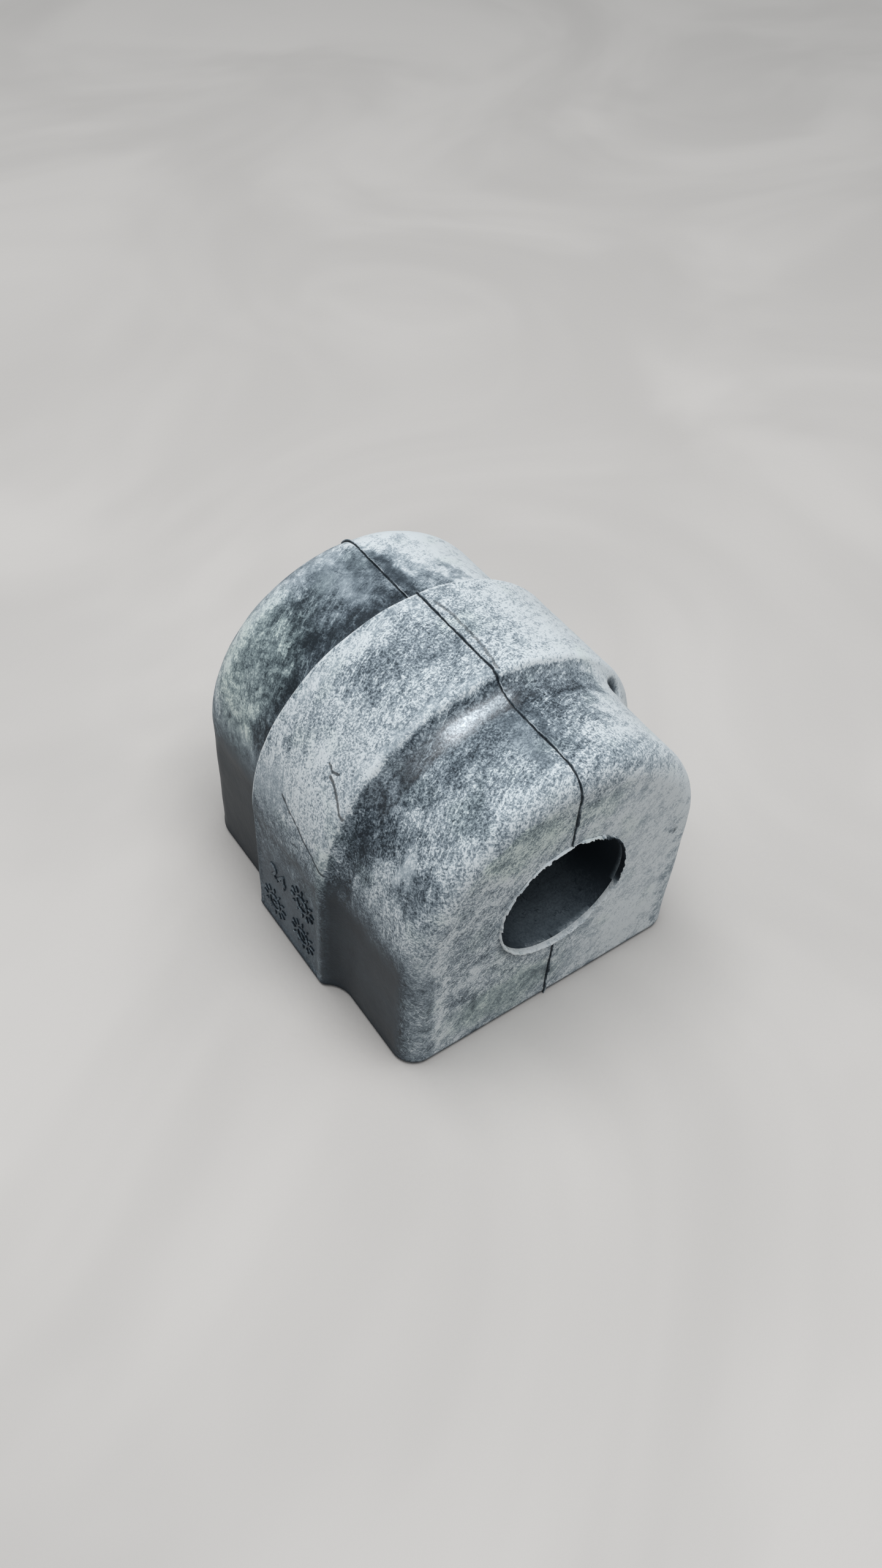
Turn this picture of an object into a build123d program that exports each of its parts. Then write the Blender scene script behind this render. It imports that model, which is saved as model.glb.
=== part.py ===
from build123d import *

import os
from math import atan2, degrees, sin

# Rubber bush for a round bar, moulded in one piece.
# Seen from the end it is a D: a flat base, upright sides and a round arch over the bore.
# A raised band runs over its middle, with a curved ramp at the front and a square shoulder at the rear.
# Sizes are in millimetres. X is the width, Y runs along the bore with the front end at -Y, and Z is up.
# The origin lies on the base, midway between the two ends.

# Outline of the plain front and rear sections
body_width = 51.8          # across the upright sides
side_height = 24.9         # base to the centre of the arch, where the upright sides end
length = 59.4              # front end face to rear end face
front_edge_radius = 3.9    # rounding all round the front end face, apart from the base
rear_edge_radius = 5.0     # the same at the rear end face

# Raised band
band_rise = 2.65           # how far the band stands out of the sides and the arch
front_length = 15.4        # front end face to the foot of the ramp
ramp_length = 5.1          # foot of the ramp to the full height of the band
band_edge_radius = 1.4     # rounding where the ramp runs out on to the band
band_length = 18.3         # full-height part of the band, up to its square rear shoulder

# Bore
bore_diameter = 22.0
bore_height = 25.9         # base to the bore's axis

# Moulding flash
parting_flash_height = 0.5      # fin that the mould's two halves leave along the middle plane
parting_flash_thickness = 0.4
bore_flash_height = 0.6         # thin rim that the mould's core leaves round each mouth of the bore
bore_flash_thickness = 0.35

# Worked out from the sizes above
body_radius = body_width / 2
front_face = -length / 2
rear_face = length / 2
ramp_foot = front_face + front_length
band_rear = ramp_foot + ramp_length + band_length
bore_radius = bore_diameter / 2


def half_section():
    """Plan of one half of the body, from the middle plane out to the side, with Y along the bore."""
    # The ramp is two arcs of equal angle, the first hollow and the second round, tangent to each
    # other, to the body and to the band.
    ramp_angle = 2 * atan2(band_rise, ramp_length)
    ramp_foot_radius = ramp_length / sin(ramp_angle) - band_edge_radius
    front_corner = (body_radius - front_edge_radius, front_face)
    rear_corner = (body_radius - rear_edge_radius, rear_face)

    front = Line((0, front_face), front_corner)
    front_round = JernArc(front_corner, (1, 0), front_edge_radius, 90)
    front_side = Line(front_round @ 1, (body_radius, ramp_foot))
    ramp_hollow = JernArc(front_side @ 1, (0, 1), ramp_foot_radius, -degrees(ramp_angle))
    ramp_round = JernArc(ramp_hollow @ 1, ramp_hollow % 1, band_edge_radius, degrees(ramp_angle))
    band_top = Line(ramp_round @ 1, (body_radius + band_rise, band_rear))
    shoulder = Line(band_top @ 1, (body_radius, band_rear))
    rear_side = Line(shoulder @ 1, (body_radius, rear_face - rear_edge_radius))
    rear_round = JernArc(rear_side @ 1, (0, 1), rear_edge_radius, 90)
    rear = Line(rear_corner, (0, rear_face))
    middle = Line((0, rear_face), (0, front_face))

    outline = [front, front_round, front_side, ramp_hollow, ramp_round, band_top]
    outline += [shoulder, rear_side, rear_round, rear, middle]
    return make_face(outline)


def body(section):
    """The section turned half a circle for the arch, and drawn straight down for the sides."""
    arch_axis = Axis((0, 0, side_height), (0, -1, 0))
    raised = Pos(0, 0, side_height) * section
    arch = revolve(raised, arch_axis, 180)
    plan = raised + mirror(raised, Plane.YZ)
    sides = extrude(plan, side_height, dir=(0, 0, -1))
    return arch + sides


def parting_flash(section):
    """Fin in the middle plane, over the arch and down both end faces to the base."""
    standing = Plane((0, 0, side_height), x_dir=(0, 0, 1), z_dir=(-1, 0, 0))
    lower_half = Plane.YZ * Pos(0, side_height / 2) * Rectangle(length, side_height)
    silhouette = standing * section + lower_half
    grown = offset(silhouette, parting_flash_height)
    fin = extrude(grown, parting_flash_thickness / 2, both=True)
    return split(fin, Plane.XY, keep=Keep.TOP)


def bore_cylinder(radius, reach):
    """Cylinder on the bore's axis that passes each end face by the given reach."""
    place = Pos(0, 0, bore_height) * Rot(X=90)
    return place * Cylinder(radius, length + 2 * reach)


def bush():
    section = half_section()
    moulding = body(section) + parting_flash(section)
    moulding += bore_cylinder(bore_radius + bore_flash_thickness, bore_flash_height)
    # The cutting cylinder only has to run clear past the flash at both ends.
    moulding -= bore_cylinder(bore_radius, bore_flash_height + bore_radius)
    return moulding


os.makedirs("parts", exist_ok=True)
export_step(bush(), "parts/bush.step")
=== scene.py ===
import math
import bmesh
import bpy
import numpy as np
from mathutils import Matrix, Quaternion, Vector, noise


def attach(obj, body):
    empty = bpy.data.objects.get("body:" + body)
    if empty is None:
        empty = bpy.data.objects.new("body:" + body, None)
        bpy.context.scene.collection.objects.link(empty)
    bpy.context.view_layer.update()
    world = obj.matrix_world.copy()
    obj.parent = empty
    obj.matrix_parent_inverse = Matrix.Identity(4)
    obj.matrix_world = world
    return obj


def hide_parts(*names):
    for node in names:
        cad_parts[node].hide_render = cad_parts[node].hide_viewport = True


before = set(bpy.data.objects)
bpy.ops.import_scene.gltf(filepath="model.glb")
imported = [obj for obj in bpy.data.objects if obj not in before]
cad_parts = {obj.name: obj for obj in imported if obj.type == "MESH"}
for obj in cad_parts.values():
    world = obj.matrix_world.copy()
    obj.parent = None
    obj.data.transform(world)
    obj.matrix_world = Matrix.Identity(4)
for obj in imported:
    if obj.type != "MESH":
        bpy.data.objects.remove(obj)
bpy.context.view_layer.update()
millimetre = 0.001
closeEnough = 1e-6          # points nearer than this, in metres, count as one


# Node trees are written as expressions: a wire holds one output socket, and sums and products of
# wires add Math nodes to the tree that the wire belongs to.
class Wire:
    def __init__(self, graph, socket):
        self.graph = graph
        self.socket = socket

    def maths(self, operation, *values, clamped=False):
        settings = dict(operation=operation, use_clamp=clamped)
        return self.graph.add("ShaderNodeMath", settings, dict(enumerate(values)))

    def __add__(self, other):
        return self.maths("ADD", self, other)

    def __sub__(self, other):
        return self.maths("SUBTRACT", self, other)

    def __rsub__(self, other):
        return self.maths("SUBTRACT", other, self)

    def __mul__(self, other):
        return self.maths("MULTIPLY", self, other)

    def __truediv__(self, other):
        return self.maths("DIVIDE", self, other)

    def __rtruediv__(self, other):
        return self.maths("DIVIDE", other, self)

    def __pow__(self, other):
        return self.maths("POWER", self, other)

    def __neg__(self):
        return self.maths("MULTIPLY", self, -1)

    __radd__ = __add__
    __rmul__ = __mul__

    def clamped(self):
        return self.maths("ADD", self, 0, clamped=True)

    def of(self, operation):
        # a function of one value, such as its sine
        return self.maths(operation, self)

    def atMost(self, other):
        return self.maths("MINIMUM", self, other)

    def atLeast(self, other):
        return self.maths("MAXIMUM", self, other)

    def step(self, low, high):
        # 0 below low, 1 above high, eased between them; low may be the larger
        settings = dict(interpolation_type="SMOOTHSTEP")
        places = {"Value": self, "From Min": low, "From Max": high}
        return self.graph.add("ShaderNodeMapRange", settings, places)

    def output(self, name):
        return Wire(self.graph, self.socket.node.outputs[name])

    def part(self, axis):
        return self.graph.add("ShaderNodeSeparateXYZ", {}, {0: self}, axis)


class Graph:
    def __init__(self, tree):
        self.tree = tree

    # every node is made here: its type, its settings, then the values or wires of its sockets
    def add(self, kind, settings=None, places=None, output=0):
        node = self.tree.nodes.new(kind)
        for name, value in (settings or {}).items():
            if name == "items":
                while len(node.index_switch_items) < value:
                    node.index_switch_items.new()
            elif name == "stops":
                ramp = node.color_ramp
                while len(ramp.elements) < len(value):
                    ramp.elements.new(0.5)
                for element, (position, colour) in zip(ramp.elements, value):
                    element.position = position
                    element.color = (*colour, 1.0)
            else:
                setattr(node, name, value)
        for name, value in (places or {}).items():
            if isinstance(value, Wire):
                self.tree.links.new(value.socket, node.inputs[name])
            else:
                node.inputs[name].default_value = value
        return None if output is None else Wire(self, node.outputs[output])

    def geometry(self, kind, places=None, **settings):
        return self.add("GeometryNode" + kind, settings, places)

    def position(self):
        return self.geometry("InputPosition")

    def vector(self, x, y, z):
        return self.add("ShaderNodeCombineXYZ", {}, {0: x, 1: y, 2: z})

    def vectors(self, operation, *values, output=0):
        places = dict(enumerate(values))
        if operation == "SCALE":
            places = {0: values[0], "Scale": values[1]}
        return self.add("ShaderNodeVectorMath", dict(operation=operation), places, output)

    def blend(self, factor, first, second):
        return self.add("ShaderNodeMix", dict(data_type="RGBA"), {0: factor, 6: first, 7: second}, 2)

    def grain(self, where, scale, detail=2.0, roughness=0.5, distortion=0.0, output=0):
        places = {"Vector": where, "Scale": scale, "Detail": detail, "Roughness": roughness}
        places["Distortion"] = distortion
        return self.add("ShaderNodeTexNoise", {}, places, output)

    def choose(self, index, values, kind="FLOAT"):
        places = dict(enumerate([index, *values]))
        return self.geometry("IndexSwitch", places, data_type=kind, items=len(values))


def startMaterial(name):
    material = bpy.data.materials.new(name)
    material.use_nodes = True
    material.node_tree.nodes.clear()
    return material, Graph(material.node_tree)


def endMaterial(graph, places):
    shader = graph.add("ShaderNodeBsdfPrincipled", {}, places)
    graph.add("ShaderNodeOutputMaterial", {}, {"Surface": shader}, None)


# geometry helpers
def startTree(name, sizes):
    tree = bpy.data.node_groups.new(name, "GeometryNodeTree")
    for label, value in sizes.items():
        socket = tree.interface.new_socket(label, in_out="INPUT", socket_type="NodeSocketFloat")
        socket.default_value = value
    tree.interface.new_socket("finish", in_out="INPUT", socket_type="NodeSocketMaterial")
    tree.interface.new_socket("Geometry", in_out="OUTPUT", socket_type="NodeSocketGeometry")
    graph = Graph(tree)
    entry = tree.nodes.new("NodeGroupInput")
    inputs = {socket.name: Wire(graph, socket) for socket in entry.outputs if socket.name}
    return graph, inputs


def endTree(graph, geometry, inputs):
    real = graph.geometry("RealizeInstances", {0: geometry})
    smooth = graph.geometry("SetShadeSmooth", {0: real})
    done = graph.geometry("SetMaterial", {0: smooth, "Material": inputs["finish"]})
    leave = graph.tree.nodes.new("NodeGroupOutput")
    graph.tree.links.new(done.socket, leave.inputs[0])


def linked(name, data):
    thing = bpy.data.objects.new(name, data)
    bpy.context.collection.objects.link(thing)
    return thing


def frozen(carrier, name, finish):
    # keeps what the carrier shows as a plain mesh in a fresh object
    depsgraph = bpy.context.evaluated_depsgraph_get()
    mesh = bpy.data.meshes.new_from_object(carrier.evaluated_get(depsgraph))
    mesh.name = name
    # one slot only, so that faces made later carry the finish too
    mesh.materials.clear()
    mesh.materials.append(finish)
    bpy.data.objects.remove(carrier)
    return linked(name, mesh)


def growPiece(name, tree, sizes, finish):
    carrier = linked(name + ".source", bpy.data.meshes.new(name + ".source"))
    modifier = carrier.modifiers.new("grow", "NODES")
    modifier.node_group = tree
    for item in tree.interface.items_tree:
        if item.in_out == "INPUT":
            modifier[item.identifier] = finish if item.name == "finish" else float(sizes[item.name])
    return frozen(carrier, name, finish)


def joined(graph, parts):
    join = graph.tree.nodes.new("GeometryNodeJoinGeometry")
    for part in parts:
        graph.tree.links.new(part.socket, join.inputs[0])
    return Wire(graph, join.outputs[0])


def moved(graph, shape, position):
    return graph.geometry("SetPosition", {0: shape, "Position": position})


def placed(graph, sheet, x, y, z):
    return moved(graph, sheet, graph.vector(x, y, z))


def inMetres(graph, shape, place=None):
    # the sizes are in millimetres up to here
    place = place or graph.position()
    return moved(graph, shape, graph.vectors("SCALE", place, millimetre))


def merged(graph, shape, distance):
    return graph.geometry("MergeByDistance", {0: shape, "Distance": distance})


def roundedLine(graph, corners, roundings, step):
    # a line through the corners in the YZ plane, rounded, with a point about every step
    index = graph.geometry("InputIndex")
    line = graph.geometry("MeshLine", {"Count": len(corners)})
    places = [graph.vector(0.0, across, up) for across, up in corners]
    line = moved(graph, line, graph.choose(index, places, "VECTOR"))
    curve = graph.geometry("MeshToCurve", {0: line})
    radius = graph.choose(index, roundings)
    places = {0: curve, "Count": radius * 5 + 3, "Radius": radius, "Limit Radius": True}
    curve = graph.geometry("FilletCurve", places, mode="POLY")
    here = graph.position()
    places = {"Index": index + 1, "Value": here}
    following = graph.geometry("FieldAtIndex", places, data_type="FLOAT_VECTOR")
    gap = graph.vectors("DISTANCE", here, following, output=1)
    return graph.geometry("SubdivideCurve", {0: curve, "Cuts": gap / step})


def sheetOf(graph, columns, rows):
    # an open grid of points, with the column and the row of each
    sheet = graph.geometry("MeshGrid", {"Vertices X": columns, "Vertices Y": rows})
    index = graph.geometry("InputIndex")
    column = ((index + 0.5) / rows).of("FLOOR")
    return sheet, column, index - column * rows


def halfTurn(row, columns):
    # from 0 to half a turn over a section's rows; the last row closes the section
    return row.maths("MODULO", row, columns) * (math.pi / (columns - 1))


def readCurve(graph, curve, index):
    here = graph.position()
    places = {"Geometry": curve, "Value": here, "Index": index}
    return graph.geometry("SampleIndex", places, data_type="FLOAT_VECTOR", clamp=True)


def pointCount(graph, curve):
    count = graph.geometry("AttributeDomainSize", {0: curve}, component="CURVE")
    return count.output("Point Count")


# the moulded body, in millimetres
bush = dict(
    bodyWidth=51.8,
    sideHeight=24.9,
    length=59.4,
    frontEdge=3.9,
    rearEdge=5.0,
    bandRise=2.65,
    frontLength=15.4,
    rampLength=5.1,
    bandEdge=1.4,
    bandLength=18.3,
    rimRound=0.3,           # the band's rear rim
    shoulderRound=0.25,     # the corner under it
    boreDiameter=22.0,
    boreHeight=25.9,
    unevenness=0.12,        # how far the surface wanders inwards
    columnStep=0.56,
    rowStep=0.32,
    faceRows=34,
    boreRows=44,
)


def bodyLine(size):
    # plan of one side: distance along the bore, and distance out from the middle
    radius = size["bodyWidth"] / 2
    front = size["length"] * -0.5
    rear = size["length"] * 0.5
    slope = size["bandRise"] / size["rampLength"]
    angle = slope.of("ARCTANGENT") * 2
    hollow = size["rampLength"] / angle.of("SINE") - size["bandEdge"]
    foot = front + size["frontLength"] + hollow * slope
    edge = front + size["frontLength"] + size["rampLength"] - size["bandEdge"] * slope
    bandRear = front + size["frontLength"] + size["rampLength"] + size["bandLength"]
    top = radius + size["bandRise"]
    corners = [
        (front, radius - size["frontEdge"]),
        (front, radius),
        (foot, radius),
        (edge, top),
        (bandRear, top),
        (bandRear, radius),
        (rear, radius),
        (rear, radius - size["rearEdge"]),
    ]
    roundings = [0.0, size["frontEdge"], hollow, size["bandEdge"]]
    roundings += [size["rimRound"], size["shoulderRound"], size["rearEdge"], 0.0]
    return corners, roundings


def bodyTree(sizes):
    graph, size = startTree("bushBody", sizes)
    radius = size["bodyWidth"] / 2
    quarter = radius * (math.pi / 2)
    reach = quarter + size["sideHeight"]
    columns = (reach * 2 / size["columnStep"]).of("FLOOR")
    baseColumns = (radius * 2 / size["columnStep"]).of("FLOOR")
    centre = graph.vector(0.0, 0.0, size["boreHeight"])

    def arch(column, out):
        # across and up of a column's point, a distance out from the arch's axis
        along = column.atMost(columns - 1) / (columns - 1) * reach * 2 - reach
        turn = along.atLeast(-quarter).atMost(quarter) / radius
        drop = (along.of("ABSOLUTE") - quarter).atLeast(0.0)
        return out * turn.of("SINE"), size["sideHeight"] + out * turn.of("COSINE") - drop

    def outlinePoint(column, out):
        # the same, and on along the base edge back to the first column
        across, up = arch(column, out)
        beyond = (column - (columns - 1)).atLeast(0.0) / (baseColumns - 1)
        return graph.vector(across - beyond * out * 2, 0.0, up)

    def borePoint(place):
        spoke = graph.vectors("NORMALIZE", graph.vectors("SUBTRACT", place, centre))
        spoke = graph.vectors("SCALE", spoke, size["boreDiameter"] / 2)
        return graph.vectors("ADD", centre, spoke)

    def between(first, second, share):
        way = graph.vectors("SUBTRACT", second, first)
        return graph.vectors("ADD", first, graph.vectors("SCALE", way, share))

    # outer skin
    corners, roundings = bodyLine(size)
    line = roundedLine(graph, corners, roundings, size["rowStep"])
    sheet, column, row = sheetOf(graph, columns, pointCount(graph, line))
    plan = readCurve(graph, line, row)
    across, up = arch(column, plan.part(2))
    parts = [placed(graph, sheet, across, plan.part(1), up)]

    # end faces, from the outline in to the bore
    loop = columns + baseColumns - 1
    outs = [radius - size["frontEdge"], radius - size["rearEdge"]]
    for end, out, rows in ((-0.5, outs[0], size["faceRows"]), (0.5, outs[1], size["faceRows"] * 0.5)):
        sheet, column, row = sheetOf(graph, loop, rows)
        outline = outlinePoint(column, out)
        place = between(outline, borePoint(outline), row / (rows - 1))
        face = placed(graph, sheet, place.part(0), size["length"] * end, place.part(2))
        parts.append(face if end > 0 else graph.geometry("FlipFaces", {0: face}))

    # wall of the bore
    sheet, column, row = sheetOf(graph, loop, size["boreRows"])
    share = row / (size["boreRows"] - 1)
    ends = [borePoint(outlinePoint(column, out)) for out in outs]
    place = borePoint(between(ends[0], ends[1], share))
    along = (share - 0.5) * size["length"]
    wall = placed(graph, sheet, place.part(0), along, place.part(2))
    parts.append(graph.geometry("FlipFaces", {0: wall}))

    whole = merged(graph, joined(graph, parts), 0.02)
    here = graph.position()
    normal = graph.geometry("InputNormal")
    wander = graph.grain(here, 0.11, 2.0).step(0.3, 0.7) * size["unevenness"]
    wander = wander * here.part(2).step(0.0, 2.0)
    offset = graph.vectors("SCALE", normal, -wander)
    whole = graph.geometry("SetPosition", {0: whole, "Offset": offset})
    endTree(graph, inMetres(graph, whole), size)
    return graph.tree


# thin flash along the middle plane, in millimetres
partingFlash = dict(
    height=0.34,
    thickness=0.15,
    buried=0.35,
    step=0.16,
    sway=0.10,              # how far the fin wanders to the sides
    lean=0.22,              # how far its free edge leans
    frontShift=-0.14,       # the fin's place in front of the jog on the band's edge
    jog=-9.35,
    clearance=11.2,         # no fin within this distance of the bore's axis on the end faces
)


def finOffset(graph, along, size):
    # how far the fin's root stands from the middle plane; along holds the place on its path
    y = along.part(0)
    sway = (graph.grain(along, 0.28, 2.0) - 0.5) * 2 * size["sway"]
    sway = sway + (graph.grain(along, 1.4, 2.0) - 0.5) * 0.12
    return (y - size["jog"]).step(0.2, -0.2) * size["frontShift"] + sway


def flashTree(sizes):
    graph, size = startTree("partingFlash", sizes)
    corners, roundings = bodyLine(size)
    corners = [(along, out + size["sideHeight"]) for along, out in corners]
    corners[0] = (corners[0][0], 0.0)
    corners[-1] = (corners[-1][0], 0.0)
    line = roundedLine(graph, corners, roundings, size["step"])
    columns = 9             # points round the section
    sheet, column, row = sheetOf(graph, pointCount(graph, line), columns + 1)
    path = readCurve(graph, line, column)
    ahead = readCurve(graph, line, column + 1)
    behind = readCurve(graph, line, column - 1)
    way = graph.vectors("NORMALIZE", graph.vectors("SUBTRACT", ahead, behind))
    turn = halfTurn(row, columns)
    along = graph.vector(path.part(1), path.part(2), 3.0)
    ragged = graph.grain(along, 0.9, 3.0).step(0.25, 0.62)
    height = size["height"] * (ragged * 0.6 + 0.4)
    out = (height + size["buried"]) * turn.of("SINE").atLeast(0.0) ** 0.4 - size["buried"]
    lean = (graph.grain(along, 0.35, 1.0) - 0.42) * 2 * size["lean"] * out.atLeast(0.0) / height
    across = finOffset(graph, along, size) + lean - turn.of("COSINE") * size["thickness"] * 0.5
    places = {0: sheet, "Name": "freeEdge", "Value": turn.of("SINE")}
    fin = graph.geometry("StoreNamedAttribute", places)
    y = path.part(1) - way.part(2) * out
    z = path.part(2) + way.part(1) * out
    fin = placed(graph, fin, across, y, z)
    here = graph.position()
    above = here.part(2) - size["boreHeight"]
    fromAxis = (here.part(0) ** 2 + above * above) ** 0.5
    onEnd = here.part(1).of("ABSOLUTE") - size["length"] * 0.5 + 0.6
    onEnd = onEnd.maths("GREATER_THAN", onEnd, 0.0)
    gone = fromAxis.maths("LESS_THAN", fromAxis, size["clearance"]) * onEnd
    fin = graph.geometry("DeleteGeometry", {0: fin, "Selection": gone})
    here = graph.position()
    level = graph.vector(here.part(0), here.part(1), here.part(2).atLeast(0.0))
    fin = inMetres(graph, fin, level)
    endTree(graph, merged(graph, fin, 0.000002), size)
    return graph.tree


# ragged rim round a mouth of the bore, in millimetres
boreRim = dict(
    height=0.58,
    lowHeight=0.56,         # the rim is fullest under the bore
    thickness=0.3,
    lowThickness=0.30,      # and this much wider there
    buried=0.4,
    tooth=0.62,
    toothDepth=0.5,
    inset=0.05,             # how far the rim stands into the bore
)


def rimTree(sizes):
    graph, size = startTree("boreRim", sizes)
    around, columns = 520, 7                # points round the bore and round the section
    sheet, column, row = sheetOf(graph, around + 1, columns + 1)
    angle = column * (2 * math.pi / around)         # from straight up, towards +X
    boreRadius = size["boreDiameter"] / 2
    up = angle.of("COSINE")
    across = angle.of("SINE")
    circle = graph.vector(across * boreRadius, up * boreRadius, size["mouth"])
    low = up.step(0.1, -0.8) * (1 - across.step(0.2, 0.8) * 0.6)
    right = across.step(0.15, 0.7) * up.step(-0.5, -0.1)
    coarse = graph.grain(circle, 0.35, 2.0).step(0.3, 0.7)
    fine = graph.grain(circle, 1.3, 2.0).step(0.3, 0.7)
    saw = (angle * boreRadius / size["tooth"]).of("FRACT")
    tear = saw * right * graph.grain(circle, 0.6, 1.0).step(0.25, 0.45)
    notched = graph.grain(circle, 0.75, 2.0, 0.6).step(0.47, 0.52) * (1 - low * 0.7)
    height = 0.2 + coarse * 0.2 + fine * 0.14 + low * (size["lowHeight"] - 0.4) - notched * 0.2
    height = (height + tear * size["toothDepth"]).atMost(size["height"]).atLeast(0.06)
    turn = halfTurn(row, columns)
    out = (height + size["buried"]) * turn.of("SINE").atLeast(0.0) ** 0.5 - size["buried"]
    flare = (graph.grain(circle, 1.2, 2.0) - 0.5) * 1.3 + (graph.grain(circle, 0.4, 1.0) - 0.6) * 0.9
    flare = (flare * (1 - low * 0.8) - notched * 0.12 - tear * 0.3) * out.atLeast(0.0)
    wide = size["thickness"] * (0.75 + fine * 0.4) + low * size["lowThickness"]
    radius = boreRadius - size["inset"] + wide * (1 - turn.of("COSINE")) * 0.5 + flare
    side = size["mouth"] / size["mouth"].of("ABSOLUTE")
    along = size["mouth"] + side * out
    rim = placed(graph, sheet, across * radius, along, size["boreHeight"] + up * radius)
    endTree(graph, inMetres(graph, merged(graph, rim, 0.002)), size)
    return graph.tree


# sunburst date marks on the left of the band, in millimetres
dateMarks = dict(
    rays=12.0,
    rayCircle=2.7,
    rayLength=1.3,
    rayWidth=0.42,
    ringRadius=1.5,
    ringWidth=0.36,
    pointerLength=1.6,
    relief=0.28,
    face=-28.26,            # the sunken side that the marks stand on
)
datePlaces = [(4.3, 5.8, 0.3), (-4.5, 15.25, 1.1), (-4.2, 6.6, 2.2)]     # along, up, pointer's turn


def markTree(sizes):
    graph, size = startTree("dateMark", sizes)
    thick = size["relief"] * 2              # half of it is buried
    bead = graph.geometry("MeshUVSphere", {0: 10, 1: 6, 2: 0.5})
    scale = graph.vector(size["rayLength"], size["rayWidth"], thick)
    ring = graph.geometry("MeshCircle", {0: size["rays"], 1: size["rayCircle"]})
    index = graph.geometry("InputIndex")
    turn = graph.vector(0.0, 0.0, index * (2 * math.pi) / size["rays"])
    places = {0: ring, "Instance": bead, "Rotation": turn, "Scale": scale}
    rays = graph.geometry("InstanceOnPoints", places)
    places = {"Resolution": 40, "Radius": size["ringRadius"]}
    circle = graph.geometry("CurvePrimitiveCircle", places)
    section = graph.geometry("CurvePrimitiveCircle", {"Resolution": 8, "Radius": 0.5})
    hoop = graph.geometry("CurveToMesh", {0: circle, 1: section, "Scale": size["ringWidth"]})
    here = graph.position()
    flat = graph.vector(here.part(0), here.part(1), here.part(2) * thick / size["ringWidth"])
    hoop = moved(graph, hoop, flat)
    scale = graph.vector(size["pointerLength"], size["rayWidth"], thick)
    places = {0: bead, "Scale": scale, "Rotation": graph.vector(0.0, 0.0, size["turn"])}
    pointer = graph.geometry("Transform", places)
    parts = graph.geometry("RealizeInstances", {0: joined(graph, [rays, hoop, pointer])})
    # laid flat so far; now stood up against the side, facing -X
    here = graph.position()
    x = size["face"] - here.part(2)
    y = size["along"] - here.part(0)
    z = size["up"] + here.part(1)
    endTree(graph, inMetres(graph, parts, graph.vector(x, y, z)), size)
    return graph.tree


# dusty rubber, shared by every piece
rubberLook = dict(
    # from bare rubber to thick dust
    tones=[
        (0.0, (0.0085, 0.0125, 0.0175)),
        (0.25, (0.045, 0.060, 0.075)),
        (0.5, (0.150, 0.186, 0.214)),
        (0.75, (0.340, 0.390, 0.424)),
        (1.0, (0.640, 0.672, 0.685)),
    ],
    mossTint=(0.94, 0.985, 0.91),
    sootAndShadeColour=(0.0028, 0.0052, 0.0085, 1.0),
    sheen=(0.76, 0.90, 1.0, 1.0),
    grainHeight=0.00005,
    strokeHeight=0.00012,
    # how fine each pattern is, in repeats per millimetre
    grainScale=2.9,
    squiggleScale=1.9,
    mottleScale=1.05,
    lineScale=0.9,
    clumpScale=0.5,
    fleckScale=0.42,
    cloudScale=0.3,
    mossScale=0.16,
    broadScale=0.13,
    # and how much it changes the dust
    speckShare=0.18,
    grainShare=1.2,
    squiggleShare=0.12,
    clumpShare=0.6,
    broadShare=0.22,
    mottleShare=0.45,
    streakShare=0.55,
    wormShare=0.26,
    wispShare=0.3,
    fleckShare=0.4,
    roughness=0.5,
    shineRoughness=0.25,
    sootAndShadeRoughness=0.9,
    specularLevel=0.36,
    coat=0.62,
    coatRoughness=0.38,
    coatIor=2.4,
)
# lines scored in the skin: points as distance round the arch from its crown (left is negative) and
# distance along the bore, then the width and how dark it is
scores = dict(
    longScratch=([(-32.7, 1.9), (-34.1, -2.2), (-35.9, -7.0), (-37.4, -10.3)], 0.26, 0.85),
    crease=([(-37.8, -2.6), (-37.6, -4.2), (-38.6, -6.6)], 0.16, 0.7),
    leftFold=([(-24.6, -5.0), (-25.0, -6.4), (-26.2, -8.2), (-27.6, -10.2)], 0.34, 0.8),
    rightFold=([(-23.4, -3.5), (-23.9, -4.9), (-23.4, -6.0)], 0.26, 0.8),
    grooveByFin=([(1.1, 6.5), (1.5, 2.6), (1.45, -3.0), (1.0, -7.2), (0.5, -9.2)], 0.3, 0.55),
)


def stroke(graph, place, points, width):
    # 1 on a line through the points, fading out at its width
    nearest = None
    for first, second in zip(points, points[1:]):
        run = (second[0] - first[0], second[1] - first[1], 0.0)
        square = run[0] ** 2 + run[1] ** 2
        away = graph.vectors("SUBTRACT", place, (*first, 0.0))
        share = (graph.vectors("DOT_PRODUCT", away, run, output=1) / square).clamped()
        off = graph.vectors("SUBTRACT", away, graph.vectors("SCALE", run, share))
        distance = graph.vectors("LENGTH", off, output=1)
        nearest = distance if nearest is None else nearest.atMost(distance)
    return nearest.step(width, width * 0.35)


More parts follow.
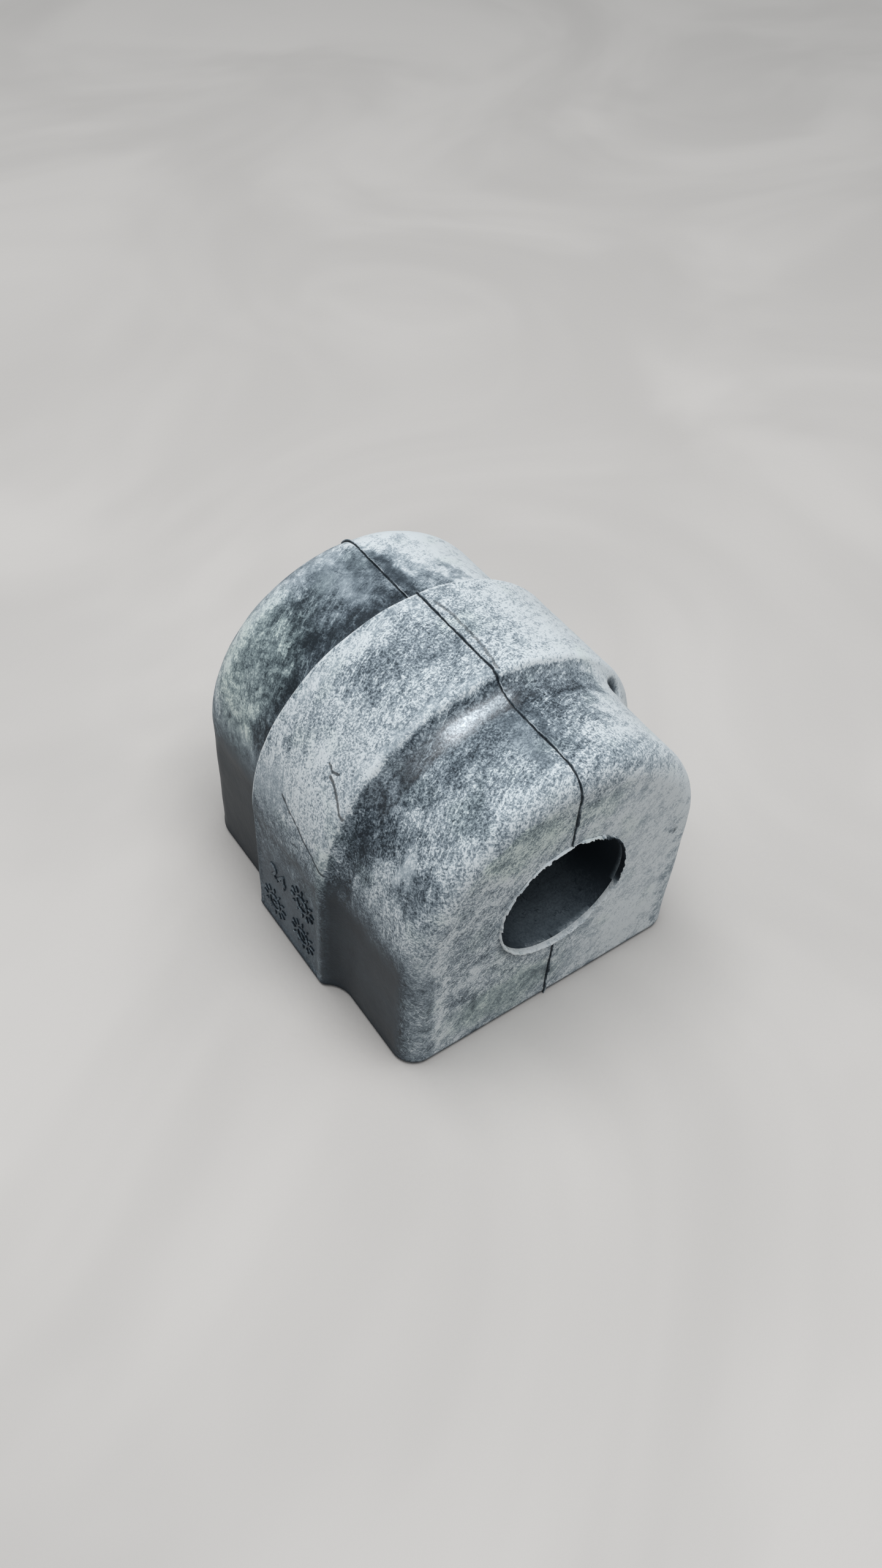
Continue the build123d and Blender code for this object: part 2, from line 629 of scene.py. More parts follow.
def makeRubber(name, look):
    material, graph = startMaterial(name)
    here = graph.add("ShaderNodeTexCoord", {}, {}, "Object")
    here = graph.vectors("SCALE", here, 1 / millimetre)

    def laid(layer):
        return graph.add("ShaderNodeAttribute", dict(attribute_name=layer), {}, "Fac")

    # the dust layer also holds painted highlights and painted shade
    dust = laid("dust")
    film = laid("film").clamped()
    soot = laid("soot").clamped()
    shine = laid("shine").clamped()
    moss = laid("moss").clamped()
    seamed = laid("seamed")

    # the skin unrolled: distance round the arch from its crown, distance along the bore
    x, y, z = here.part(0), here.part(1), here.part(2)
    up = z - bush["sideHeight"]
    turn = x.maths("ARCTAN2", x, up.atLeast(0.0))
    around = turn * (bush["bodyWidth"] / 2) + x.of("SIGN") * (-up).atLeast(0.0)
    skin = graph.vector(around, y, 0.0)
    onFace = y.of("ABSOLUTE").maths("GREATER_THAN", y.of("ABSOLUTE"), bush["length"] / 2 - 0.2)

    def brushed(across, along, degrees):
        # stretches a pattern along a direction in the plane of the two distances
        turned = math.radians(degrees)
        lengthways = across * math.cos(turned) + along * math.sin(turned)
        sideways = along * math.cos(turned) - across * math.sin(turned)
        return graph.vector(lengthways * 0.24, sideways * 1.25, 0.0)

    def hairs(where, scale, detail, distortion, wide, thin):
        # thin lines, where a soft pattern crosses its middle
        pattern = graph.grain(where, scale, detail, 0.5, distortion) - 0.5
        return pattern.of("ABSOLUTE").step(wide, thin)

    settings = dict(data_type="VECTOR")
    places = {0: onFace, 4: brushed(around, y, 24), 5: brushed(x, z + 80, 52)}
    brush = graph.add("ShaderNodeMix", settings, places, 1)

    bend = graph.vectors("SUBTRACT", graph.grain(here, 0.7, 2.0, output="Color"), (0.5, 0.5, 0.5))
    bent = graph.vectors("ADD", here, graph.vectors("SCALE", bend, 0.5))
    fine = graph.grain(bent, look["grainScale"], 3.0, 0.72, 0.2)
    speck = fine.step(0.4, 0.6)
    clump = graph.grain(here, look["clumpScale"], 3.0, 0.6)
    mottle = graph.grain(bent, look["mottleScale"], 3.0, 0.62)
    broad = graph.grain(here, look["broadScale"], 2.0, 0.5)
    bentBrush = graph.vectors("ADD", brush, graph.vectors("SCALE", bend, 0.5))
    streak = graph.grain(bentBrush, 1.0, 3.0, 0.6)
    squiggle = hairs(bent, look["squiggleScale"], 0.0, 0.3, 0.09, 0.02)
    worm = hairs(bent, look["lineScale"], 1.0, 0.3, 0.028, 0.004)
    wisp = hairs(brush, look["lineScale"], 2.0, 0.8, 0.035, 0.0)
    # a pale fleck in about one cell of four
    cells = graph.add("ShaderNodeTexVoronoi", {}, {"Vector": here, "Scale": look["fleckScale"]})
    flecks = cells.step(0.075, 0.045) * cells.output("Color").part(0).step(0.72, 0.74)

    # behind the band and on the faces the dust is rubbed into clouds
    behind = y.step(9.2, 10.0) * (1 - onFace)
    cloud = graph.grain(bent, look["cloudScale"], 4.0, 0.58, 1.2).step(0.38, 0.62)
    clouded = behind * (0.21 - around.step(1.0, 8.0) * 0.12 - around.step(-35.0, -41.0) * 0.17)
    clouded = clouded + onFace * 0.14 + 0.06

    middle = dust.step(0.06, 0.2)                        # bare rubber shows little of the pattern
    calm = (1 - shine * 0.6) * (1 - film * film * 0.8)
    rougher = (1 - film * 0.8) * (1 - shine * 0.5) * (middle * 0.85 + 0.15) * (1 - behind * 0.4)
    grains = (speck - 0.5) * look["speckShare"] + (fine - 0.5) * look["grainShare"]
    tone = dust + (grains + (squiggle - 0.35) * look["squiggleShare"]) * rougher
    tone = tone + (clump - 0.5) * (middle * (look["clumpShare"] + onFace * 0.25) + 0.12) * calm
    tone = tone + (broad - 0.5) * look["broadShare"]
    tone = tone + (mottle - 0.5) * (middle * look["mottleShare"]) * calm
    tone = tone + (cloud - 0.5) * clouded * (middle * 0.8 + 0.2) * (1 - film * 0.5)
    tone = tone + (streak - 0.5) * (middle * look["streakShare"] + 0.08) * calm
    tone = tone - worm * clump.step(0.46, 0.6) * middle * (1 - film * 0.4) * look["wormShare"]
    tone = tone + wisp * broad.step(0.4, 0.6) * middle * (1 - film * film * 0.85) * look["wispShare"]
    tone = tone + flecks * middle * look["fleckShare"]
    colour = graph.add("ShaderNodeValToRGB", dict(stops=look["tones"]), {0: tone.clamped()})
    mossy = (graph.grain(here, look["mossScale"], 1.0).step(0.55, 0.75) * 0.3 + moss).clamped()
    colour = graph.blend(mossy, colour, graph.vectors("MULTIPLY", colour, look["mossTint"]))

    # painted shade along either side of the fin's root
    away = x - finOffset(graph, graph.vector(y, z, 3.0), partingFlash)
    leftShade = away.step(-0.27, -0.18) * away.step(0.1, 0.04)
    shaded = leftShade + away.step(0.17, 0.11) * away.step(-0.04, 0.02) * 0.6
    shaded = shaded * (streak.step(0.25, 0.5) * 0.4 + 0.6) * seamed
    # soot and painted shade darken the colour, together with the painted shade beside the fin
    colour = graph.blend((soot + shaded).clamped(), colour, look["sootAndShadeColour"])

    cut = None
    wavy = graph.vectors("ADD", skin, graph.vectors("SCALE", bend, 0.7))
    for points, width, darkness in scores.values():
        line = stroke(graph, wavy, points, width) * darkness
        cut = line if cut is None else cut.atLeast(line)
    cut = cut * fine.step(0.3, 0.5) * (1 - onFace)
    colour = graph.blend(cut, colour, look["sootAndShadeColour"])

    rough = look["roughness"] + tone.clamped() * 0.24 - film * 0.06
    rough = rough + (look["shineRoughness"] - rough) * shine
    rough = rough + (look["sootAndShadeRoughness"] - rough) * soot
    height = (fine + streak * 0.5) * (1 - film * 0.7) + clump * 0.9
    height = height - cut * (look["strokeHeight"] / look["grainHeight"])
    places = {"Strength": 1.0, "Distance": look["grainHeight"], "Height": height}
    bump = graph.add("ShaderNodeBump", {}, places)
    # the shine is crinkled like leather
    coat = shine * (look["coat"] + squiggle * 0.45 + (fine - 0.5) * 1.2).clamped()
    places = {"Base Color": colour, "Roughness": rough, "Normal": bump, "Coat Weight": coat}
    places["Coat Roughness"] = look["coatRoughness"]
    places["Coat IOR"] = look["coatIor"]
    places["Specular IOR Level"] = look["specularLevel"]
    places["Specular Tint"] = look["sheen"]
    endMaterial(graph, places)
    return material


rubber = makeRubber("dustedRubber", rubberLook)
print("rubber made")


# where dust, film and soot lie, and where painted highlights and painted shade are laid in with the
# dust and soot
def softNoise(points, scale, shift):
    # about -1 to 1 at each point
    offset = Vector((shift, shift * 0.7, -shift))
    return np.array([noise.noise(Vector(p) * scale + offset) for p in points])


# how far the edges of patches and strips wander, in millimetres
edgeWander = dict(patchAcross=2.4, patchAlong=2.0, stripAcross=2.0, stripAlong=0.3)


def layPatches(value, across, along, patches, ragged):
    # each patch: centre across, centre along, half width, half length, turn in degrees, amount
    across = across + ragged[0] * edgeWander["patchAcross"]
    along = along + ragged[1] * edgeWander["patchAlong"]
    for a, b, halfA, halfB, turned, amount in patches:
        turn = math.radians(turned)
        u = ((across - a) * math.cos(turn) + (along - b) * math.sin(turn)) / halfA
        v = ((along - b) * math.cos(turn) - (across - a) * math.sin(turn)) / halfB
        value += amount * ease(1.45 - np.hypot(u, v), 0.0, 0.9)


def ease(value, low, high):
    share = np.clip((value - low) / (high - low), 0.0, 1.0)
    return share * share * (3 - 2 * share)


def span(rising, falling, low, high, soft):
    # 1 from low to high, with soft ends; the two sides may be measured differently
    rise = ease(rising, low - soft / 2, low + soft / 2)
    return rise * ease(-falling, -high - soft / 2, -high + soft / 2)


def layStrips(value, across, along, strips, ragged):
    wavy = along + ragged * edgeWander["stripAlong"]
    shifted = across + ragged * edgeWander["stripAcross"]
    for low, high, soft, left, right, fade, amount in strips:
        inside = span(wavy, wavy, low, high, soft)
        value += amount * inside * span(shifted, across, left, right, fade)


def giveValues(piece, **values):
    # one number each, or one for every point
    for name, value in dict(dict(shine=0.0, seamed=0.0), **values).items():
        data = (np.zeros(len(piece.data.vertices)) + value).astype(np.float32)
        piece.data.attributes.new(name, "FLOAT", "POINT").data.foreach_set("value", data)


def verticesOf(mesh):
    points = np.empty(len(mesh.vertices) * 3, dtype=np.float32)
    mesh.vertices.foreach_get("co", points)
    return points.reshape(-1, 3).astype(np.float64)


def aroundArch(x, z):
    # distance round the arch from its crown, in millimetres
    up = z - bush["sideHeight"]
    turn = np.arctan2(x, np.maximum(up, 0.0))
    return bush["bodyWidth"] / 2 * turn + np.sign(x) * np.maximum(-up, 0.0)


# what lies round the arch before any patch: the amount, where it starts and where it is full, in
# millimetres from the crown
archDust = dict(
    leftShoulder=(0.73, -46.0, -33.5),
    rightOfSeam=(0.20, 0.5, 12.0),
    rightShoulder=(0.06, 14.0, 22.0),
    rightSide=(-0.25, 36.0, 48.0),
)
archFilm = dict(
    right=(0.4, 4.0, 16.0),
    leftSide=(0.35, -36.0, -42.0),
)
# patches on the skin: how thick the dust is, against what lies round the patch; a few are painted
# highlight or painted shade
skinDustAndShading = dict(
    darkByRim=(-17, 12.8, 15, 2.4, 0, -0.3),
    darkRear=(-12.5, 18.6, 3, 4.4, 8, -0.16),
    rearCrown=(-7, 18, 10, 8, 0, -0.22),
    rearLeftPale=(-30, 22, 5, 2, 10, 0.08),
    darkRearRight=(11, 15.3, 2, 2.6, 20, -0.3),
    greenRear=(-23, 19, 6, 4, -10, -0.06),
    # painted highlight along the rear rounding
    rearEdge=(-8, 26.4, 38, 1.6, 0, 0.2),
    seamRear=(-2.2, 18.5, 2, 6.5, 0, -0.16),
    seamRearRight=(1.6, 18, 1.2, 6, 0, -0.34),
    bandMiddle=(-11.4, 1.2, 4.2, 3.2, -15, -0.26),
    bandBright=(-22, 0.2, 2.6, 2, 0, 0.12),
    bandNearSeam=(-5.5, 2.4, 3.6, 6, 0, -0.09),
    rearRightRim=(5.5, 13.2, 4.4, 1.8, 0, -0.3),
    rearTop=(-4, 26.8, 4.4, 2, 0, -0.14),
    bandLeftBroad=(-27, -3, 6.5, 6.5, 0, 0.06),
    landLeftMiddle=(-22.5, -20, 2.4, 2.2, 0, -0.12),
    rearDarkLeft=(-17.6, 14.4, 3.6, 2.4, 10, -0.34),
    rearFarLeft=(-32, 13.5, 3.4, 2.2, 0, -0.18),
    rearCorner=(-37, 27, 6, 2, 0, -0.16),
    # painted shade in the hollow before the band
    hollowShade=(-22, -13.2, 2.4, 1.4, 0, -0.14),
    rearMottle=(-22.5, 17.8, 4.6, 1.6, -12, -0.1),
    landDarkTop=(-27, -14.6, 4.8, 2.9, 0, -0.25),
    hollowEnd=(-34, -12, 3, 1.6, 0, 0.06),
    landRightBroad=(8, -17.2, 5, 4.4, 0, -0.25),
    landFarRight=(12.5, -21, 2.6, 2, 0, -0.16),
    landLeftLow=(-26, -27.2, 5, 1.2, 0, -0.14),
    bandLeftPale=(-30, -4, 5, 5, 0, 0.1),
    bandDots=(-25.5, 4.8, 1, 1.6, 0, -0.24),
    bandLow=(-13, -3.6, 1.6, 3.6, -15, -0.1),
    bandSeam=(-3, -3.2, 2.4, 6.5, 0, -0.14),
    bandPale=(-19.5, -3.6, 6.5, 5, 0, 0.06),
    bandStrip=(-14, 7, 16, 1.5, 0, 0.07),
    hollowWedge=(-20.2, -12.8, 1.2, 3.2, -32, 0.26),
    landShade=(-12, -15.5, 25, 2.4, 0, -0.26),
    landAll=(-13, -20.5, 22, 4, 0, -0.115),
    landLow=(-14, -25.5, 22, 2.4, 0, -0.09),
    landMiddle=(-9, -19, 4, 4, 0, -0.05),
    roundRight=(13, -27.5, 9, 2.4, 0, -0.2),
    landDark=(-24.6, -17.6, 2, 3.2, -5, -0.12),
    landDarkest=(-27.4, -24.4, 3.6, 2.2, -12, -0.24),
    landDarkMiddle=(-22.4, -22.5, 2, 2.4, 0, -0.1),
    landDarkRight=(-15, -24.6, 2.2, 2, 0, -0.1),
    landPale=(-27, -21.6, 2.8, 1.3, 12, 0.16),
    landStreak=(-20, -17.5, 0.8, 4.6, 0, 0.12),
    landSpots=(-33.5, -19.5, 2.6, 3, 20, 0.1),
    landFilm=(-2.4, -20, 1.9, 6, 0, -0.08),
    landRight=(1.4, -18.6, 1.3, 4, 0, -0.28),
    landSpotsRight=(3.2, -24.8, 2.4, 1.8, 0, -0.14),
    roundPale=(-6, -26.6, 26, 0.9, 0, 0.08),
)
# strips round the skin: from and to along the bore, how soft, from and to round the arch, how soft,
# and the amount; most are painted highlights and painted shade along the band's edges and in the hollow
# before it
dustAndShadingStrips = dict(
    # painted highlight on the band's rear rim, then painted shade behind it
    rearRim=(8.75, 9.25, 0.15, -40, 12, 6, 0.28),
    rimShade=(9.5, 12.4, 1.4, -32, 8, 6, -0.28),
    # painted highlight along the band's front edge, painted shade under it and in the hollow
    edgeHighlight=(-10.3, -8.8, 0.3, -38, 24, 4, 0.05),
    underEdgeShade=(-12, -10.4, 0.3, -42, 16, 6, -0.36),
    hollow=(-14.3, -11.9, 0.6, -40, -12, 5, -0.46),
    hollowMiddleShade=(-14.3, -11.9, 0.6, -12, 0, 3, -0.14),
    # painted highlight along the band's front edge on the left side
    edgeSideHighlight=(-10.6, -8.8, 0.5, -66, -38, 5, 0.09),
    bandSide=(-9.6, 9.4, 1, -67, -43, 6, 0.27),
    cornerSide=(-30.4, -26.6, 2.6, -67, -38, 6, 0.19),
    # painted shade in the hollow to the right of the fin
    hollowRight=(-14.6, -11.9, 0.8, 0, 18, 4, -0.4),
)
shineStrips = dict(
    hollow=(-14.5, -11.5, 1.6, -11, 0.8, 2, 0.85),
    hollowFade=(-14.6, -11.3, 1.6, -16, -8, 6, 0.55),
    hollowLeft=(-14.6, -10.6, 1, -24, -15, 4, 0.3),
    hollowRight=(-14, -10.6, 0.6, 0.3, 12, 2, 0.25),
)
skinFilm = dict(
    rearFilm=(-5, 19.5, 4.4, 6, 0, 0.75),
    rearSeam=(1.5, 18, 1.2, 7, 0, 0.6),
    rearRight=(9, 19, 8, 8, 0, 0.35),
    rearLeft=(-38, 17, 4.5, 9, 0, 0.5),
    rearEdge=(-10, 27.3, 50, 2, 0, 0.45),
    bandLeft=(-33.5, 4.2, 4.5, 4, 0, 0.6),
    bandSide=(-58, 0, 11, 10, 0, 0.55),
    bandStrip=(-12, 7.4, 14, 1.2, 0, 0.5),
    bandFront=(-15, -9.2, 18, 0.6, 0, 0.6),
    landPale=(-27, -21.6, 2.8, 1.5, 12, 0.7),
    landFilm=(-2.4, -20, 2, 6, 0, 0.6),
    landFilmRight=(1.4, -18.6, 1.3, 4, 0, 0.5),
)
skinMoss = dict(
    rearLeft=(-24, 19.5, 12, 8, 0, 0.9),
    rearLow=(-50, 20, 14, 9, 0, 0.5),
    bandCorner=(-38, -9, 5, 1.4, 0, 0.5),
)
# patches on the front face: across, up
faceDustAndShading = dict(
    leftDark=(-22, 39, 3, 6, -30, -0.2),
    crownBrown=(-9.5, 44.6, 5, 1.8, -8, -0.12),
    crownRight=(4, 44, 3.6, 2.6, 0, -0.1),
    middleLeft=(-16, 26.5, 5.6, 6.5, 0, -0.08),
    smudge=(-17.5, 13, 3, 1.9, 0, -0.16),
    smudgeLow=(-14, 8.8, 2.8, 3.6, 0, -0.14),
    wedge=(-15.4, 17.8, 1.1, 2.8, -25, 0.16),
    wedgeLow=(-19, 7.4, 0.9, 3.8, 18, 0.14),
    scratchPale=(-12.3, 8.2, 0.5, 3.6, -28, 0.14),
    crownStreak=(-10.4, 41.4, 1, 2.8, -30, 0.1),
    edgeStrip=(17, 43.4, 3.6, 1.2, -38, -0.18),
    speck=(20.6, 27.5, 0.8, 1.3, 0, -0.25),
    speckLow=(17.2, 11.5, 1.1, 0.7, 30, -0.15),
    # painted contact shade along the foot of the face
    foot=(0, 0.4, 26, 0.8, 0, -0.2),
    underBore=(-5, 6.6, 4.2, 2.6, 0, -0.17),
    crownPale=(-9.5, 37.6, 3.6, 2.2, -20, 0.12),
    besideBore=(-12.8, 31.5, 1.8, 3.4, -30, 0.14),
    footLeft=(-18.5, 2.6, 2.6, 2, 0, 0.08),
    lowRight=(16, 9, 6.5, 6, 0, 0.08),
    topPale=(0.5, 41, 6, 3.4, 0, 0.08),
    leftColumn=(-22.6, 14.5, 2.4, 8.5, 0, 0.13),
    cornerDark=(-21.5, 42, 2.2, 2.6, -30, -0.16),
)
faceFilm = dict(
    right=(14, 20, 11, 24, 0, 0.25),
    low=(-8, 6, 14, 5, 0, 0.45),
    wedge=(-15.4, 17.8, 1.1, 2.8, -25, 0.5),
)
faceMoss = dict(
    crown=(-9, 43, 9, 4.5, -8, 0.8),
    crownRight=(4, 42.5, 4, 3, 0, 0.5),
    low=(-9, 7, 9, 5, 0, 0.9),
)
faceShadeAndSoot = dict(
    # painted shade beside the fin, low on the face
    seamLowShade=(-0.75, 9, 0.5, 3.6, 0, 0.35),
    speck=(20.6, 27.3, 0.35, 0.45, 0, 0.7),
)
layers = dict(
    dust=0.045,             # the least there is
    archDust=0.17,          # and above the sides
    cornerDust=0.32,        # more of it low on the left of the front rounding
    shoulderDust=-0.12,     # and less behind the band's left shoulder
    film=0.1,
    frontDust=0.75,         # on the front face, and the rest of its right and its left half
    frontRightDust=0.18,
    frontLeftDust=0.16,
    frontFilm=0.4,
    # painted contact shade along the base
    footShade=0.96,          # under the rounded base edge
    # painted shadow under the bore's rim
    lipShadow=0.45,           # round the lower left of the bore's mouth
    boreDust=0.05,          # at the top of the bore, and how much more at its bottom
    boreDustLow=0.36,
    # painted shade inside the bore, and how much less of it at its bottom
    boreShade=0.95,
    boreShadeLow=-0.72,
    # how strong the painted shade beside the fin is
    finShade=0.95,
)
# a bubble's mark on the right of the ramp
recess = dict(around=24.6, along=-11.5, halfWidth=2.7, halfLength=1.1, depth=0.7, dust=-0.7, soot=0.75)
# how deep the left of the band and both side walls lie, so that the marks stay inside the width
sinking = dict(band=0.3, walls=0.1)


def dressBody(piece):
    mesh = piece.data
    points = verticesOf(mesh)
    large = points / millimetre
    x, y, z = large.T
    around, along = aroundArch(x, z), y
    ragged = [softNoise(large, 0.3, shift) + softNoise(large, 0.9, shift) * 0.5 for shift in (4.0, 9.0)]
    onFront = y < bush["length"] * -0.5 + 0.25
    onRear = y > bush["length"] * 0.5 - 0.25
    boreRadius = bush["boreDiameter"] / 2
    fromBore = np.hypot(x, z - bush["boreHeight"])
    inBore = (fromBore < boreRadius + 0.3) & ~onFront & ~onRear

    dust = sum(amount * ease(around, start, full) for amount, start, full in archDust.values())
    dust += layers["dust"]
    dust += layers["cornerDust"] * ease(along, -26.6, -29.6) * ease(around, -34.0, -42.0)
    dust += layers["shoulderDust"] * ease(along, 9.0, 9.6) * ease(around, -6.0, -10.0)
    film = sum(amount * ease(around, start, full) for amount, start, full in archFilm.values())
    film += layers["film"]
    shine = np.zeros(len(points))
    moss = np.zeros(len(points))
    for value, patches in ((dust, skinDustAndShading), (film, skinFilm), (moss, skinMoss)):
        layPatches(value, around, along, patches.values(), ragged)
    for value, strips in ((dust, dustAndShadingStrips), (shine, shineStrips)):
        layStrips(value, around, along, strips.values(), ragged[0])
    dust = np.maximum(dust, layers["archDust"] * ease(around, -42.0, -37.0))
    # the painted shade beside the fin, kept off the lowest rows and out of the bore
    seamed = np.where((z > 0.3) & ~inBore, layers["finShade"], 0.0)

    faceValue = layers["frontDust"] + layers["frontRightDust"] * ease(x, 1.0, 11.0)
    faceValue += layers["frontLeftDust"] * ease(x, -18.0, -21.5) * ease(z, 36.0, 30.0)
    faceHaze = layers["film"] + layers["frontFilm"] * ease(x, -1.0, 9.0)
    # painted contact shade along the base
    soot = layers["footShade"] * ease(z, 1.3, 0.5)
    faceDark = soot.copy()
    faceGreen = np.zeros(len(points))
    faceTables = (faceDustAndShading, faceFilm, faceShadeAndSoot, faceMoss)
    for value, patches in zip((faceValue, faceHaze, faceDark, faceGreen), faceTables):
        layPatches(value, x, z, patches.values(), ragged)
    atMouth = fromBore < boreRadius + 0.05
    inBore |= atMouth
    below = bush["boreHeight"] - z
    # painted shadow under the lower left of the bore's rim
    lipShade = ease(boreRadius + 1.6 - fromBore, 0.0, 1.0) * ease(below, 1.5, 6.0)
    faceDark += layers["lipShadow"] * lipShade * ease(x, 2.0, -3.0)
    # the faces take over from the skin a little way in from their outline
    inset = bush["bodyWidth"] / 2 - np.hypot(x, np.maximum(z - bush["sideHeight"], 0.0))
    for end, start, width in ((onFront, bush["frontEdge"], 2.0), (onRear, bush["rearEdge"], 4.0)):
        flags = end & ~atMouth
        share = ease(inset + ragged[0] * 0.8, start - 0.2, start + width)[flags]
        dust[flags] = dust[flags] * (1 - share) + faceValue[flags] * share
        film[flags] = film[flags] * (1 - share) + faceHaze[flags] * share
        soot[flags] = faceDark[flags]
    moss[onFront] = faceGreen[onFront]
    moss[inBore] = 0.0
    # painted shade inside the bore, less of it towards its bottom
    low = ease(below, 2.0, 11.0)[inBore]
    dust[inBore] = layers["boreDust"] + layers["boreDustLow"] * low
    film[inBore] = 1.0
    soot[inBore] = layers["boreShade"] + layers["boreShadeLow"] * low

    u = (around - recess["around"]) / recess["halfWidth"]
    v = (along - recess["along"]) / recess["halfLength"]
    hollow = np.clip(1 - u * u - v * v, 0.0, 1.0)
    dust += hollow * recess["dust"]
    soot += hollow * recess["soot"]
    normals = np.empty(len(mesh.vertices) * 3, dtype=np.float32)
    mesh.vertices.foreach_get("normal", normals)
    normals = normals.reshape(-1, 3)
    sunk = ease(around, -40.5, -43.5) * ease(along, -9.0, -8.0) * ease(along, 8.9, 8.0)
    walls = ease(np.abs(around), 41.0, 44.0) * ease(28.0 - np.abs(along), 0.0, 3.0)
    sunk = np.maximum(sunk * sinking["band"], walls * sinking["walls"]) * ease(z, 0.6, 1.6)
    points -= normals * ((hollow * recess["depth"] + sunk) * millimetre)[:, None]
    mesh.vertices.foreach_set("co", points.astype(np.float32).ravel())
    giveValues(piece, dust=dust, film=film, soot=soot, shine=shine, moss=moss, seamed=seamed)


def dressRim(piece):
    # dusty, apart from the torn inner side on the right
    points = verticesOf(piece.data) / millimetre
    across, up = points[:, 0], points[:, 2] - bush["boreHeight"]
    reach = np.hypot(across, up)
    inner = ease(bush["boreDiameter"] / 2 + 0.22 - reach, 0.0, 0.12)
    bare = ease(across / reach, 0.35, 0.65) * ease(up / reach, -0.5, -0.2) * inner
    dust = 1.0 - bare * 0.9 + softNoise(points, 0.5, 2.0) * 0.2
    giveValues(piece, dust=dust, film=0.7, soot=bare * 0.85)


def dressMark(piece):
    # painted shade round its foot, and paler dust on top as a painted highlight
    outer = ease(-verticesOf(piece.data)[:, 0] / millimetre, 28.3, 28.5)
    giveValues(piece, dust=0.08 + outer * 0.3, film=0.5, soot=(1 - outer) * 0.9)


def dressFlash(piece):
    # paler along its free edge as a painted highlight, painted shade at the root
    share = np.zeros(len(piece.data.vertices), dtype=np.float32)
    piece.data.attributes["freeEdge"].data.foreach_get("value", share)
    spread = softNoise(verticesOf(piece.data) / millimetre, 0.3, 2.0)
    edge = ease(share, 0.45, 0.85) * (0.35 + 0.65 * ease(spread, -0.25, 0.1))
    giveValues(piece, dust=0.2 + edge * 0.66, film=0.6, soot=(1 - edge) * 0.45)


def closePiece(piece, bevel=0.0, reach=0.003):
    # fills what is open, rounds the base edge and turns every face outwards
    sharp = math.radians(48)
    shape = bmesh.new()
    shape.from_mesh(piece.data)
    bmesh.ops.remove_doubles(shape, verts=shape.verts, dist=closeEnough)
    bmesh.ops.holes_fill(shape, edges=[edge for edge in shape.edges if edge.is_boundary], sides=0)
    bmesh.ops.recalc_face_normals(shape, faces=shape.faces)
    if bevel:
        # the lowest rows of points move up their walls, to leave room for the rounding
        for vertex in shape.verts:
            if closeEnough < vertex.co.z < reach:
                vertex.co.z = bevel + vertex.co.z * (reach - bevel) / reach
        foot = [edge for edge in shape.edges if edge.is_manifold and edge.calc_face_angle() > sharp]
        foot = [edge for edge in foot if max(vertex.co.z for vertex in edge.verts) < closeEnough]
        # a little less than the room, so that no two points meet
        bmesh.ops.bevel(shape, geom=foot, offset=bevel * 0.95, segments=4, profile=0.5, affect="EDGES")
    bmesh.ops.triangulate(shape, faces=[face for face in shape.faces if len(face.verts) > 4])
    shape.to_mesh(piece.data)
    shape.free()
    piece.data.set_sharp_from_angle(angle=sharp)


baseRounding = 0.95
body = growPiece("bushBody", bodyTree(bush), bush, rubber)
closePiece(body, baseRounding * millimetre)
dressBody(body)
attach(body, "root")
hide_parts("bush")
print("body grown:", len(body.data.vertices), "points")

smallPieces = []


def growSmall(name, makeTree, sizes, dress):
    piece = growPiece(name, makeTree(sizes), sizes, rubber)
    closePiece(piece)
    dress(piece)
    smallPieces.append(piece)


growSmall("partingFlash", flashTree, {**bush, **partingFlash}, dressFlash)
for label, end in (("frontRim", -0.5), ("rearRim", 0.5)):
    growSmall(label, rimTree, {**bush, **boreRim, "mouth": bush["length"] * end}, dressRim)
for number, (along, up, turned) in enumerate(datePlaces, 1):
    markSizes = {**dateMarks, "along": along, "up": up, "turn": turned}
    growSmall("dateMark%d" % number, markTree, markSizes, dressMark)

figureSizes = dict(
    text="24",
    along=2.6,
    up=14.2,
    height=3.2,
    relief=0.17,
    rounding=0.08,
)


def cavityNumber(size):
    # raised figures on the left of the band, made a mesh before they are put there
    lettering = bpy.data.curves.new("cavityNumber", "FONT")
    lettering.body = size["text"]
    lettering.size = size["height"] / 0.7           # a figure is about 0.7 of the type size
    lettering.extrude = size["relief"]
    lettering.bevel_depth = size["rounding"]
    lettering.bevel_resolution = 1
    lettering.resolution_u = 4
    lettering.align_x = "CENTER"
    lettering.align_y = "CENTER"
    piece = frozen(linked("cavityNumber.source", lettering), "cavityNumber", rubber)
    x, y, z = verticesOf(piece.data).T
    points = np.stack([dateMarks["face"] - z, size["along"] - x, size["up"] + y], axis=1)
    piece.data.vertices.foreach_set("co", (points * millimetre).astype(np.float32).ravel())
    return piece


figures = cavityNumber(figureSizes)
closePiece(figures)
dressMark(figures)
smallPieces.append(figures)
for piece in smallPieces:
    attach(piece, "root")
print("flash, rims and marks grown")


# floor, light and camera
studio = dict(
    floorSize=1.6,
    floorColour=(0.60, 0.575, 0.552, 1.0),
    skyStrength=0.42,
    skyColour=(0.93, 0.97, 1.0, 1.0),
    lampPower=3.4,
    lampSize=(0.64, 0.34),
    lampPlace=(-0.02, -0.01, 0.64),
    lampColour=(0.97, 0.985, 1.0),
    cloudSize=9.0,          # the floor's faint clouds and fine grain, in repeats per metre
    grainSize=900.0,
    grainHeight=0.00005,
    floorRoughness=0.75,
)


